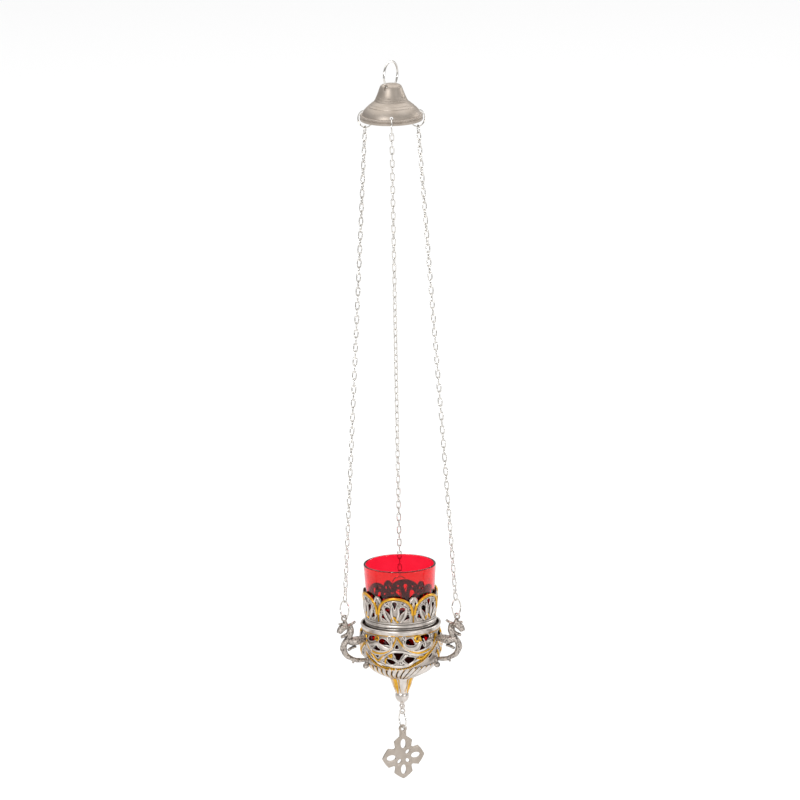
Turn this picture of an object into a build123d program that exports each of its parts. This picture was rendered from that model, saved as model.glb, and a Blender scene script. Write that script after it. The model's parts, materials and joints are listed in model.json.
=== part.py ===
from build123d import *
import math
import os

# A three-chain hanging sanctuary lamp, in millimetres, +Z up.
# Origin: the inside top of the hanging ring, where the hook bears.

# Hanging ring and the cross pin that it hooks round
RING_R = 12.0
RING_WIRE = 1.8
RING_PLAN_ANGLE = 60.0
PIN_D = 2.0
RUN_GAP = 0.05

# Cap
CROWN_WEB = 1.2
PIN_COVER_GAP = 0.1
CROWN_R = 9.2
CROWN_EDGE_DROP = 3.2
NECK_R = 14.4
NECK_DROP = 15.4
FLARE_R = 20.4
FLARE_DROP = 20.4
SKIRT_R = 26.2
SKIRT_DROP = 27.8
RIM_OUT = 1.8
RIM_H = 5.0
CAP_WALL = 1.3
SLOT_GAP = 0.4
SLOT_REACH = 9.8
SLOT_WEB = 2.3
SLOT_SWING_ROOM = 2.0
CROWN_FLOOR_T = 1.8
CAP_HOLE_D = 3.0
CAP_HOLE_SINK = 0.2

# Round rings on the cap, the handles and the pendant
JUMP_R = 7.5
JUMP_WIRE = 1.3
BEAR_GAP = 0.5

# Chains
LINK_PITCH = 6.25
LINK_WIDTH = 4.5
LINK_WIRE = 1.1
LINK_GAP = 0.06
CHAIN_TOP_ANGLES = {"left": 150.0, "right": 30.0, "back": 270.0}
HANDLE_ANGLES = {"left": 210.0, "right": 330.0, "back": 90.0}
CHAIN_DROP = 452.0

# Handle eyes
EYE_R = 58.2
EYE_OUTER_R = 3.3
EYE_HOLE_D = 3.4
HANDLE_T = 5.4
HANDLE_TRIM_T = 2.8

# Bowl
LIP_GAP = 2.6
LIP_T = 2.8
LIP_H = 4.4
LIP_BELOW_EYE = 11.6
BULGE_OUT = 1.2
BULGE_DROP = 17.5
BOWL_H = 50.0
BOWL_FOOT_R = 13.0
BOWL_WALL = 1.6
BOWL_FLOOR = 2.4
LEDGE_T = 1.4
LEDGE_BITE = 0.8
PIERCINGS = 12

# Gallery
GALLERY_H = 31.4
GALLERY_GAP = 0.55
GALLERY_WALL = 1.6
BAND_H = 6.4
SCALLOPS = 6
SCALLOP_FACING = 261.0
BAND_SINK = 0.8

# Glass
GLASS_RIM_R = 32.5
GLASS_SEAT_R = 29.1
GLASS_H = 75.0
GLASS_ABOVE_GALLERY = 23.4
GLASS_WALL = 2.0
GLASS_FLOOR = 4.0
GLASS_SEAT_GAP = 0.1

# Calyx, finial and their stud
CALYX_R = 12.5
CALYX_FOOT_R = 6.6
CALYX_H = 16.0
CALYX_WALL = 1.5
KNOB_R = 6.0
KNOB_H = 8.6
FINIAL_NECK_R = 2.0
FINIAL_NECK_H = 2.4
BEAD_R = 2.7
BEAD_FOOT_H = 1.4
FINIAL_EYE_R = 2.3
FINIAL_EYE_WIRE = 1.3
STUD_D = 4.0
STUD_COVER = 2.4
NUT_AF = 7.0
NUT_H = 3.2
WASHER_D = 9.0
WASHER_T = 0.8

# Pendant cross
PENDANT_FACING = 24.0
PENDANT_T = 1.8
PENDANT_ARM = 20.6
PENDANT_SHOULDER = 8.6
PENDANT_CUSP = 14.5
PENDANT_EYE_R = 3.8
PENDANT_EYE_HOLE_D = 3.6
PENDANT_EYE_RISE = 26.0
PENDANT_NECK_W = 6.4

# Handle screws
SCREW_D = 3.0
SCREW_HEAD_D = 5.4
SCREW_HEAD_H = 1.4
SCREW_LENGTH = 9.0
SCREW_BELOW_EYE = 21.5
SCREW_SEAT_SINK = 2.0

# Levels and radii that follow from the sizes above
ring_inside = RING_R - RING_WIRE / 2
pin_z = -2 * ring_inside + PIN_D / 2 + RUN_GAP
crown_z = pin_z + PIN_D / 2 + PIN_COVER_GAP + CROWN_WEB
rim_top_z = crown_z - SKIRT_DROP
rim_bottom_z = rim_top_z - RIM_H
rim_r = SKIRT_R + RIM_OUT
cap_hole_z = rim_top_z + CAP_HOLE_D / 2 - CAP_HOLE_SINK
jump_inside = JUMP_R - JUMP_WIRE / 2
cap_bearing_z = cap_hole_z - CAP_HOLE_D / 2 + BEAR_GAP
handle_bearing_z = cap_bearing_z - CHAIN_DROP
eye_z = handle_bearing_z + BEAR_GAP - EYE_HOLE_D / 2
lip_z = eye_z - LIP_BELOW_EYE
bowl_floor_z = lip_z - BOWL_H
ledge_z = lip_z - BAND_SINK
gallery_top_z = ledge_z + GALLERY_H
glass_rim_z = gallery_top_z + GLASS_ABOVE_GALLERY
glass_floor_z = glass_rim_z - GLASS_H
calyx_foot_z = bowl_floor_z - CALYX_H
knob_z = calyx_foot_z - KNOB_H
neck_foot_z = knob_z - FINIAL_NECK_H
finial_eye_z = neck_foot_z - 2 * BEAD_R - BEAD_FOOT_H
finial_bearing_z = finial_eye_z - FINIAL_EYE_R + FINIAL_EYE_WIRE / 2 + BEAR_GAP
glass_taper = (GLASS_RIM_R - GLASS_SEAT_R) / (glass_rim_z - ledge_z)
gallery_base_r = GLASS_SEAT_R + GLASS_SEAT_GAP + GALLERY_WALL
gallery_top_r = GLASS_RIM_R - glass_taper * GLASS_ABOVE_GALLERY + GALLERY_GAP + GALLERY_WALL
lip_r = gallery_base_r + LIP_GAP + LIP_T
bulge_r = lip_r + BULGE_OUT
glass_foot_r = GLASS_RIM_R - glass_taper * GLASS_H
screw_z = eye_z - SCREW_BELOW_EYE
screw_seat_r = bulge_r - SCREW_SEAT_SINK
pendant_bearing_z = finial_bearing_z - 2 * jump_inside
pendant_eye_z = pendant_bearing_z + BEAR_GAP - PENDANT_EYE_HOLE_D / 2
facing_turn = math.radians(PENDANT_FACING)
pendant_facing = Vector(math.sin(facing_turn), -math.cos(facing_turn), 0)


def around(radius, angle, z):
    """Point at a radius and a plan angle in degrees."""
    return Vector(radius * math.cos(math.radians(angle)), radius * math.sin(math.radians(angle)), z)


def radial_plane(angle, z=0.0):
    """Vertical plane through the axis, with x pointing outwards at the plan angle and y pointing up."""
    outward = around(1, angle, 0)
    return Plane(origin=(0, 0, z), x_dir=outward, z_dir=outward.cross(Vector(0, 0, 1)))


def outward_plane(angle, z):
    """Plane on the axis that faces outwards at the plan angle, with y pointing up."""
    outward = around(1, angle, 0)
    return Plane(origin=(0, 0, z), x_dir=Vector(0, 0, 1).cross(outward), z_dir=outward)


def write(piece, label):
    """Label a finished piece and export it as its own node."""
    piece.part.label = label
    export_step(piece.part, f"parts/{label}.step")


def round_ring(centre, normal, radius, wire):
    """A round wire ring."""
    with BuildPart() as ring:
        with BuildSketch(Plane(origin=centre + perpendicular(normal) * radius, x_dir=perpendicular(normal),
                               z_dir=normal.cross(perpendicular(normal)))):
            Circle(wire / 2)
        revolve(axis=Axis(centre, normal))
    return ring


def perpendicular(direction):
    """A unit vector square to a direction, as near vertical as it can be."""
    upright = Vector(0, 0, 1)
    if abs(direction.Z) > 0.9:
        upright = Vector(0, 1, 0)
    return (upright - direction * upright.dot(direction)).normalized()


def chain_ends(side):
    """Bearing points of a chain's two end rings."""
    top = around(SKIRT_R, CHAIN_TOP_ANGLES[side], cap_bearing_z)
    foot = around(EYE_R, HANDLE_ANGLES[side], handle_bearing_z)
    return top, foot


def square_to(direction, wanted):
    """The part of a wanted direction that is square to another, at unit length."""
    return (wanted - direction * wanted.dot(direction)).normalized()


def chain_link(pitch):
    """One oval link, long in X and wide in Y, centred on the origin."""
    bend = (LINK_WIDTH - LINK_WIRE) / 2
    straight = pitch + LINK_WIRE + LINK_GAP - 2 * bend
    with BuildPart() as link:
        with BuildLine() as loop:
            upper = Line((-straight / 2, bend), (straight / 2, bend))
            TangentArc(upper @ 1, (straight / 2, -bend), tangent=upper % 1)
            lower = Line((straight / 2, -bend), (-straight / 2, -bend))
            TangentArc(lower @ 1, upper @ 0, tangent=lower % 1)
        with BuildSketch(Plane(origin=upper @ 0, z_dir=(1, 0, 0))):
            Circle(LINK_WIRE / 2)
        sweep(path=loop.wire())
    return link


def chain_links(start, end, first_across, last_across):
    """Oval links between two bearing points, a quarter turn apart, with the odd turn spread over them."""
    run = end - start
    line = run.normalized()
    count = round(run.length / LINK_PITCH)
    pitch = run.length / count
    link = chain_link(pitch)
    turned = line.dot(first_across.cross(last_across))
    odd_turn = math.degrees(math.atan2(turned, first_across.dot(last_across)))
    twist = (odd_turn - 90 * (count - 1) + 90) % 180 - 90
    places = []
    for number in range(count):
        turn = 90 * number + twist * number / (count - 1)
        across = first_across.rotate(Axis((0, 0, 0), line), turn)
        middle = start + line * (pitch * (number + 0.5))
        places.append(Plane(origin=middle, x_dir=line, z_dir=line.cross(across)).location)
    with BuildPart() as chain:
        with Locations(*places):
            add(link.part)
    print(f"{count} links, pitch {pitch:.3f}")
    return chain


os.makedirs("parts", exist_ok=True)

# Hanging ring: its plane stands square to the cross pin
pin_dir = around(1, RING_PLAN_ANGLE - 90, 0)
hanging_ring = round_ring(Vector(0, 0, -ring_inside), pin_dir, RING_R, RING_WIRE)
write(hanging_ring, "hanging_ring")

# Cap: a turned bell with a slotted crown
crown_floor_z = pin_z - PIN_D / 2 - RUN_GAP - RING_WIRE - SLOT_SWING_ROOM
skirt_middle_z = (rim_top_z + crown_z - FLARE_DROP) / 2 + 0.8
with BuildPart() as cap:
    with BuildSketch(Plane.XZ):
        with BuildLine():
            crown = ThreePointArc((0, crown_z), (CROWN_R * 0.55, crown_z - CROWN_EDGE_DROP * 0.18),
                                  (CROWN_R, crown_z - CROWN_EDGE_DROP * 0.6))
            Spline(crown @ 1, (CROWN_R + 1.6, crown_z - CROWN_EDGE_DROP - 1.8),
                   (NECK_R, crown_z - NECK_DROP))
            flare = Line((NECK_R, crown_z - NECK_DROP), (FLARE_R, crown_z - FLARE_DROP))
            skirt = ThreePointArc(flare @ 1, (SKIRT_R - 2.2, skirt_middle_z), (SKIRT_R, rim_top_z))
            lip = Line(skirt @ 1, (rim_r - 0.4, rim_top_z))
            groove = Polyline(lip @ 1, (rim_r, rim_top_z - RIM_H * 0.3),
                              (rim_r - 0.7, rim_top_z - RIM_H * 0.5),
                              (rim_r, rim_top_z - RIM_H * 0.7), (rim_r - 0.4, rim_bottom_z))
            under = Line(groove @ 1, (rim_r - 2 * CAP_WALL, rim_bottom_z))
            inner = Spline(under @ 1, (SKIRT_R - CAP_WALL, rim_top_z + 0.4),
                           (FLARE_R - CAP_WALL, crown_z - FLARE_DROP - 1),
                           (NECK_R - CAP_WALL - 0.6, crown_z - NECK_DROP - 1),
                           (CROWN_R - 0.6, crown_floor_z - CROWN_FLOOR_T))
            Polyline(inner @ 1, (0, crown_floor_z - CROWN_FLOOR_T), (0, crown_z))
        make_face()
    revolve(axis=Axis.Z)
    with BuildSketch(Plane.XY.offset(crown_floor_z)):
        Rectangle(2 * SLOT_REACH, RING_WIRE + 2 * SLOT_GAP, rotation=RING_PLAN_ANGLE)
    extrude(amount=crown_z - CROWN_WEB - crown_floor_z, mode=Mode.SUBTRACT)
    with BuildSketch(Plane.XY.offset(pin_z)):
        with Locations(Location((0, 0, 0), (0, 0, RING_PLAN_ANGLE))):
            with Locations((-(SLOT_REACH + SLOT_WEB) / 2, 0), ((SLOT_REACH + SLOT_WEB) / 2, 0)):
                Rectangle(SLOT_REACH - SLOT_WEB, RING_WIRE + 2 * SLOT_GAP)
    extrude(amount=crown_z - pin_z + 1, mode=Mode.SUBTRACT)
    with BuildSketch(Plane(origin=pin_dir * -NECK_R + Vector(0, 0, pin_z), z_dir=pin_dir)):
        Circle(PIN_D / 2)
    extrude(amount=2 * NECK_R, mode=Mode.SUBTRACT)
    for side in CHAIN_TOP_ANGLES:
        with BuildSketch(outward_plane(CHAIN_TOP_ANGLES[side], cap_hole_z)):
            Circle(CAP_HOLE_D / 2)
        extrude(amount=rim_r + 1, mode=Mode.SUBTRACT)
write(cap, "cap")

# Cross pin, flush inside the crown
pin_half = CROWN_R - 1.2
with BuildPart() as ring_pin:
    with BuildSketch(Plane(origin=pin_dir * -pin_half + Vector(0, 0, pin_z), z_dir=pin_dir)):
        Circle(PIN_D / 2)
    extrude(amount=2 * pin_half)
write(ring_pin, "ring_pin")

# Chains with the round ring at each end
for side in CHAIN_TOP_ANGLES:
    top, foot = chain_ends(side)
    line = (foot - top).normalized()
    top_across = square_to(line, around(1, CHAIN_TOP_ANGLES[side], 0))
    foot_across = square_to(line, around(1, HANDLE_ANGLES[side] + 90, 0))
    cap_ring = round_ring(top + line * jump_inside, line.cross(top_across), JUMP_R, JUMP_WIRE)
    write(cap_ring, f"cap_ring_{side}")
    handle_ring = round_ring(foot - line * jump_inside, line.cross(foot_across), JUMP_R, JUMP_WIRE)
    write(handle_ring, f"handle_ring_{side}")
    first = top + line * (2 * jump_inside)
    last = foot - line * (2 * jump_inside)
    chain = chain_links(first, last, line.cross(top_across), line.cross(foot_across))
    write(chain, f"chain_{side}")

# Bowl: a pierced urn with a rolled lip and an inside ledge for the gallery
urn_outline = [(lip_r - 1.4, lip_z - LIP_H), (bulge_r, lip_z - BULGE_DROP),
               (bulge_r - 2.4, lip_z - 0.59 * BOWL_H), (bulge_r - 6.4, lip_z - 0.70 * BOWL_H),
               (bulge_r - 14.4, lip_z - 0.88 * BOWL_H), (BOWL_FOOT_R + 4, bowl_floor_z + 1.4),
               (BOWL_FOOT_R, bowl_floor_z)]
urn_lining = [(r - BOWL_WALL, z + BOWL_WALL * 0.7 * (lip_z - z) / BOWL_H) for r, z in urn_outline[:-1]]
ledge_w = lip_r - LIP_T + LEDGE_BITE - GLASS_SEAT_R - GLASS_SEAT_GAP
with BuildPart() as urn:
    with BuildSketch(Plane.XZ):
        with BuildLine():
            rolled = ThreePointArc((lip_r - 0.8, lip_z), (lip_r, lip_z - LIP_H / 2), urn_outline[0])
            side = Spline(*urn_outline)
            Polyline(side @ 1, (0, bowl_floor_z), (0, lip_z), rolled @ 0)
        make_face()
    revolve(axis=Axis.Z)
with BuildPart() as bowl:
    add(urn.part)
    with BuildSketch(Plane.XZ):
        with BuildLine():
            lining = Spline(*urn_lining)
            Polyline(lining @ 1, (BOWL_FOOT_R - BOWL_WALL, bowl_floor_z + BOWL_FLOOR),
                     (0, bowl_floor_z + BOWL_FLOOR), (0, lip_z + 1), (lip_r - LIP_T, lip_z + 1), lining @ 0)
        make_face()
    revolve(axis=Axis.Z, mode=Mode.SUBTRACT)
    with BuildSketch(Plane.XZ):
        with Locations((GLASS_SEAT_R + GLASS_SEAT_GAP, ledge_z)):
            Rectangle(ledge_w, LEDGE_T, align=(Align.MIN, Align.MAX))
    revolve(axis=Axis.Z)
    for angle in HANDLE_ANGLES.values():
        with BuildSketch(outward_plane(angle, screw_z)):
            Circle(SCREW_HEAD_D / 2 + 0.1)
        extrude(amount=screw_seat_r, mode=Mode.SUBTRACT)
        with BuildSketch(outward_plane(angle, screw_z)):
            Circle(SCREW_D / 2)
        extrude(amount=2 * bulge_r, mode=Mode.SUBTRACT)
    for number in range(PIERCINGS):
        facing = 360 / PIERCINGS * (number + 0.5)
        with BuildSketch(outward_plane(facing, lip_z - BOWL_H * 0.25)):
            Ellipse(4.2, 3.2, rotation=30)
        extrude(amount=2 * bulge_r, mode=Mode.SUBTRACT)
        with BuildSketch(outward_plane(facing, lip_z - BOWL_H * 0.54)):
            Ellipse(3.2, 4.2, rotation=20)
        extrude(amount=2 * bulge_r, mode=Mode.SUBTRACT)
    with Locations(Plane.XY.offset(bowl_floor_z)):
        Hole(STUD_D / 2)
write(bowl, "bowl")

# Gallery: a coned band with scallops, petals and piercings
with BuildPart() as gallery:
    with BuildSketch(Plane.XZ):
        Polygon((gallery_base_r - GALLERY_WALL, ledge_z), (gallery_base_r, ledge_z),
                (gallery_top_r, gallery_top_z), (gallery_top_r - GALLERY_WALL, gallery_top_z), align=None)
    revolve(axis=Axis.Z)
    for number in range(SCALLOPS):
        facing = SCALLOP_FACING + 360 / SCALLOPS * number
        for side in (-1, 1):
            with BuildSketch(outward_plane(facing + side * 21, gallery_top_z)):
                Circle(2.6)
            extrude(amount=2 * gallery_top_r, mode=Mode.SUBTRACT)
            with BuildSketch(outward_plane(facing + side * 6.5, ledge_z + BAND_H + 7.5)):
                Ellipse(1.9, 3.8, rotation=-side * 18)
            extrude(amount=2 * gallery_top_r, mode=Mode.SUBTRACT)
            with BuildSketch(outward_plane(facing + side * 14.5, ledge_z + BAND_H + 4.0)):
                Ellipse(1.8, 2.6, rotation=-side * 40)
            extrude(amount=2 * gallery_top_r, mode=Mode.SUBTRACT)
        with BuildSketch(outward_plane(facing, ledge_z + BAND_H + 14.6)):
            Ellipse(1.5, 2.4)
        extrude(amount=2 * gallery_top_r, mode=Mode.SUBTRACT)
write(gallery, "gallery")

# Glass: a tapered tumbler
with BuildPart() as glass:
    with BuildSketch(Plane.XZ):
        Polygon((0, glass_floor_z), (glass_foot_r, glass_floor_z), (GLASS_RIM_R, glass_rim_z),
                (GLASS_RIM_R - GLASS_WALL, glass_rim_z),
                (glass_foot_r - GLASS_WALL, glass_floor_z + GLASS_FLOOR),
                (0, glass_floor_z + GLASS_FLOOR), align=None)
    revolve(axis=Axis.Z)
    fillet(glass.edges().group_by(Axis.Z)[-1], GLASS_WALL * 0.45)
    fillet(glass.edges().group_by(Axis.Z)[0], GLASS_FLOOR * 0.6)
write(glass, "glass")

# Handles: a flat-bodied cast griffin in its radial plane, with coordinates from the eye
tail_z = lip_z - 0.61 * BOWL_H - eye_z
for side, angle in HANDLE_ANGLES.items():
    griffin_plane = radial_plane(angle, eye_z)
    with BuildPart() as handle:
        with BuildSketch(griffin_plane):
            with BuildLine():
                ThreePointArc((EYE_R - 3.5, -20.5), (EYE_R + 1.6, -28.5), (EYE_R - 9.5, -39.0))
            trace(line_width=4.4)
            with BuildLine():
                Line((EYE_R - 8.5, -38.6), (bulge_r - 6, tail_z))
            trace(line_width=3.4)
            with BuildLine():
                Line((bulge_r - 3, -21.0), (EYE_R - 4, -24.0))
            trace(line_width=8.0)
            with BuildLine():
                Line((EYE_R - 5.2, -7), (EYE_R - 5.2, -22))
            trace(line_width=5.0)
            with Locations((EYE_R - 3.0, -7.6)):
                Circle(4.2)
        extrude(amount=HANDLE_T / 2, both=True)
        with BuildSketch(griffin_plane):
            with Locations((EYE_R, 0)):
                Circle(EYE_OUTER_R)
                Rectangle(4.4, 6, align=(Align.CENTER, Align.MAX))
            with BuildLine():
                ThreePointArc((EYE_R - 4.0, -4.8), (EYE_R - 8.4, -7.2), (EYE_R - 11.4, -4.2))
            trace(line_width=1.8)
            with BuildLine():
                Line((EYE_R - 1, -5.4), (EYE_R + 6.2, -4.8))
            trace(line_width=1.6)
            with BuildLine():
                ThreePointArc((EYE_R - 2, -8.0), (EYE_R + 3.6, -8.6), (EYE_R + 6.0, -12.6))
            trace(line_width=3.0)
            with BuildLine():
                ThreePointArc((EYE_R - 4, -14.0), (EYE_R - 0.3, -17.4), (EYE_R + 3.4, -16.8))
            trace(line_width=2.4)
            with BuildLine():
                Line((EYE_R - 13, -25.0), (EYE_R - 4.2, -29.8))
            trace(line_width=2.2)
            with BuildLine():
                Line((EYE_R - 9.6, -39.0), (EYE_R - 7.6, -42.8))
            trace(line_width=2.0)
            with BuildLine():
                Line((bulge_r + 1.0, tail_z + 0.4), (bulge_r + 0.2, tail_z - 4.6))
            trace(line_width=2.2)
        extrude(amount=HANDLE_TRIM_T / 2, both=True)
        with Locations(around(bulge_r + 0.2, angle, eye_z + tail_z - 5.2)):
            Sphere(2.8)
        add(urn.part, mode=Mode.SUBTRACT)
        with BuildSketch(griffin_plane):
            with Locations((EYE_R, 0)):
                Circle(EYE_HOLE_D / 2)
        extrude(amount=HANDLE_T, both=True, mode=Mode.SUBTRACT)
        with BuildSketch(outward_plane(angle, screw_z)):
            Circle(SCREW_D / 2)
        extrude(amount=screw_seat_r + SCREW_LENGTH, mode=Mode.SUBTRACT)
    write(handle, f"handle_{side}")

# Handle screws: one group, driven outwards from inside the bowl
with BuildPart() as handle_screws:
    for angle in HANDLE_ANGLES.values():
        with BuildSketch(outward_plane(angle, screw_z).offset(screw_seat_r - SCREW_HEAD_H)):
            Circle(SCREW_HEAD_D / 2)
        extrude(amount=SCREW_HEAD_H)
        with BuildSketch(outward_plane(angle, screw_z).offset(screw_seat_r)):
            Circle(SCREW_D / 2)
        extrude(amount=SCREW_LENGTH)
write(handle_screws, "handle_screws")

# Calyx: a fluted cup under the bowl
with BuildPart() as calyx:
    with BuildSketch(Plane.XZ):
        with BuildLine():
            flute = ThreePointArc((CALYX_R, bowl_floor_z),
                                  (CALYX_FOOT_R + 1.6, bowl_floor_z - CALYX_H * 0.55),
                                  (CALYX_FOOT_R, calyx_foot_z))
            base = Polyline(flute @ 1, (0, calyx_foot_z), (0, calyx_foot_z + CALYX_WALL),
                            (CALYX_FOOT_R - CALYX_WALL, calyx_foot_z + CALYX_WALL))
            hollow = ThreePointArc(base @ 1,
                                   (CALYX_FOOT_R + 1.6 - CALYX_WALL, bowl_floor_z - CALYX_H * 0.5),
                                   (CALYX_R - CALYX_WALL, bowl_floor_z))
            Line(hollow @ 1, flute @ 0)
        make_face()
    revolve(axis=Axis.Z)
    with Locations(Plane.XY.offset(calyx_foot_z)):
        Hole(STUD_D / 2)
write(calyx, "calyx")

# Finial: knob, bead and eye in one turning
stud_foot_z = knob_z + STUD_COVER
with BuildPart() as finial:
    with BuildSketch(Plane.XZ):
        with BuildLine():
            top_disc = Line((0, calyx_foot_z), (CALYX_FOOT_R - 1.2, calyx_foot_z))
            knob = ThreePointArc(top_disc @ 1, (KNOB_R, calyx_foot_z - KNOB_H * 0.55),
                                 (KNOB_R * 0.55, knob_z))
            neck = Polyline(knob @ 1, (FINIAL_NECK_R, knob_z - 0.8), (FINIAL_NECK_R, neck_foot_z))
            bead = ThreePointArc(neck @ 1, (BEAD_R, neck_foot_z - BEAD_R * 0.7),
                                 (FINIAL_NECK_R * 0.7, neck_foot_z - BEAD_R * 1.5))
            Polyline(bead @ 1, (FINIAL_NECK_R * 0.6, finial_eye_z + FINIAL_EYE_R),
                     (0, finial_eye_z + FINIAL_EYE_R), top_disc @ 0)
        make_face()
    revolve(axis=Axis.Z)
    with BuildSketch(Plane(origin=Vector(0, 0, finial_eye_z + FINIAL_EYE_R), x_dir=(0, 0, 1),
                           z_dir=pendant_facing.cross(Vector(0, 0, 1)))):
        Circle(FINIAL_EYE_WIRE / 2)
    revolve(axis=Axis((0, 0, finial_eye_z), pendant_facing))
    with BuildSketch(Plane.XY.offset(stud_foot_z)):
        Circle(STUD_D / 2)
    extrude(amount=calyx_foot_z - stud_foot_z, mode=Mode.SUBTRACT)
write(finial, "finial")

# Stud, washer and nut that clamp the finial and the calyx to the bowl
washer_z = bowl_floor_z + BOWL_FLOOR
with BuildPart() as finial_stud:
    with BuildSketch(Plane.XY.offset(stud_foot_z)):
        Circle(STUD_D / 2)
    extrude(amount=washer_z + WASHER_T + NUT_H + 1 - stud_foot_z)
write(finial_stud, "finial_stud")
with BuildPart() as finial_washer:
    with BuildSketch(Plane.XY.offset(washer_z)):
        Circle(WASHER_D / 2)
        Circle(STUD_D / 2, mode=Mode.SUBTRACT)
    extrude(amount=WASHER_T)
write(finial_washer, "finial_washer")
with BuildPart() as finial_nut:
    with BuildSketch(Plane.XY.offset(washer_z + WASHER_T)):
        RegularPolygon(NUT_AF / 2, 6, major_radius=False)
        Circle(STUD_D / 2, mode=Mode.SUBTRACT)
    extrude(amount=NUT_H)
write(finial_nut, "finial_nut")

# Pendant ring: its plane holds the facing direction of the cross
pendant_across = Vector(0, 0, 1).cross(pendant_facing)
pendant_ring = round_ring(Vector(0, 0, finial_bearing_z - jump_inside), pendant_across, JUMP_R, JUMP_WIRE)
write(pendant_ring, "pendant_ring")

# Pendant cross: a flat pierced quatrefoil below a drilled eye
with BuildPart() as pendant_cross:
    with BuildSketch(Plane(origin=(0, 0, pendant_eye_z), x_dir=pendant_across, z_dir=pendant_facing)):
        Circle(PENDANT_EYE_R)
        Rectangle(PENDANT_NECK_W, PENDANT_EYE_RISE - PENDANT_CUSP, align=(Align.CENTER, Align.MAX))
        with Locations((0, -PENDANT_EYE_RISE)):
            Rectangle(2 * PENDANT_SHOULDER, 2 * PENDANT_SHOULDER)
            for turn in range(4):
                with BuildSketch(Plane.XY, mode=Mode.PRIVATE) as arm:
                    with BuildLine():
                        rise = ThreePointArc((PENDANT_SHOULDER - 1.2, 0),
                                             (PENDANT_SHOULDER - 0.8, PENDANT_SHOULDER),
                                             (PENDANT_SHOULDER + 0.3, PENDANT_CUSP))
                        point = ThreePointArc(rise @ 1, (PENDANT_SHOULDER * 0.62, PENDANT_CUSP + 3.0),
                                              (0, PENDANT_ARM))
                        mirror(about=Plane.YZ)
                        Line((PENDANT_SHOULDER - 1.2, 0), (1.2 - PENDANT_SHOULDER, 0))
                    make_face()
                add(arm.sketch, rotation=90 * turn)
            with PolarLocations(PENDANT_ARM * 0.58, 4):
                Ellipse(4.4, 2.6, mode=Mode.SUBTRACT)
            with PolarLocations(PENDANT_SHOULDER * 0.66, 3, start_angle=-135, angular_range=270):
                Ellipse(2.2, 1.5, mode=Mode.SUBTRACT)
        Circle(PENDANT_EYE_HOLE_D / 2, mode=Mode.SUBTRACT)
    extrude(amount=PENDANT_T / 2, both=True)
write(pendant_cross, "pendant_cross")
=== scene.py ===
"""Builds the looks of a three-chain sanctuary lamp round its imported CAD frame."""
import json
import math

import bpy
from mathutils import Matrix, Vector


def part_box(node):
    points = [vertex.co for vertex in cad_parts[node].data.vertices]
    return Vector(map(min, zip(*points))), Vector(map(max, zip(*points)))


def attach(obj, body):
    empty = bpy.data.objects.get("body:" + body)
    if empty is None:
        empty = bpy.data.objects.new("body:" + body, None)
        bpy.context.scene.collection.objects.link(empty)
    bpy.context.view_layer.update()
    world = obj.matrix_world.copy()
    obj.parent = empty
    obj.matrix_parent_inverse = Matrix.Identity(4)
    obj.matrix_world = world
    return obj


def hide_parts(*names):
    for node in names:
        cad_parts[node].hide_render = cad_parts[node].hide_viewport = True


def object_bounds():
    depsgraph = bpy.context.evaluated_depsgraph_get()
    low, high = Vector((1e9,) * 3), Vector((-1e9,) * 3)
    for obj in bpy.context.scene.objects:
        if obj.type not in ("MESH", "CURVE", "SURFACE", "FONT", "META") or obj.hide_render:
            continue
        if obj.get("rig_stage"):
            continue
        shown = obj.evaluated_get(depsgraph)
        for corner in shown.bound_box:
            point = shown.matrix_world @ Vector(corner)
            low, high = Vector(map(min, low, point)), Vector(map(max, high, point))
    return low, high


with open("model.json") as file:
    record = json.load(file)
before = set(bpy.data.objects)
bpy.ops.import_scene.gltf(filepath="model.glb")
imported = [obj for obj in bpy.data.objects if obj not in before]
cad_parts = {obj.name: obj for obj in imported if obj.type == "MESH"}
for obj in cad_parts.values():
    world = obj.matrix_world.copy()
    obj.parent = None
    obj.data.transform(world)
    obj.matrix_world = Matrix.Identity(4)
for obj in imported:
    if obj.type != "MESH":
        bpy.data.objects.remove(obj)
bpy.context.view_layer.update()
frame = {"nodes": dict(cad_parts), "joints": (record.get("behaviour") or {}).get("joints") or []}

bl_info = {
    "name": "Sanctuary lamp",
    "version": (1, 0, 0),
    "blender": (4, 5, 0),
    "location": "View3D > Sidebar > Sanctuary lamp",
    "description": "Builds the ornament, chains, glass and stage of a hanging sanctuary lamp",
    "category": "Object",
}

MM = 0.001
SIDES = ("left", "right", "back")
HANDLE_ANGLES = {"left": 210.0, "right": 330.0, "back": 90.0}
JOINTS = {joint["name"]: joint for joint in frame["joints"]}

# How far pieces may stand out from the lamp's axis, in millimetres
BOWL_WIDEST = 37.0
BOWL_REACH = 37.35
HANDLE_REACH = 65.6

# The stage, in metres and degrees, with the lens and its sensor in millimetres
FLOOR_DROP = 0.16
FLOOR_SIZE = 26.0
WORLD_STRENGTH = 0.455
LAMP_MIDDLE = (0.0, 0.0, -0.35)
CAMERA_AIM = (0.0030, 0.0, -0.307)
CAMERA_AWAY = 8.0
CAMERA_TILT = 13.8
CAMERA_ROLL = -1.05
CAMERA_LENS = 404.0
CAMERA_SENSOR = 36.0


# Sizes and colours that a user would change

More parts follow.
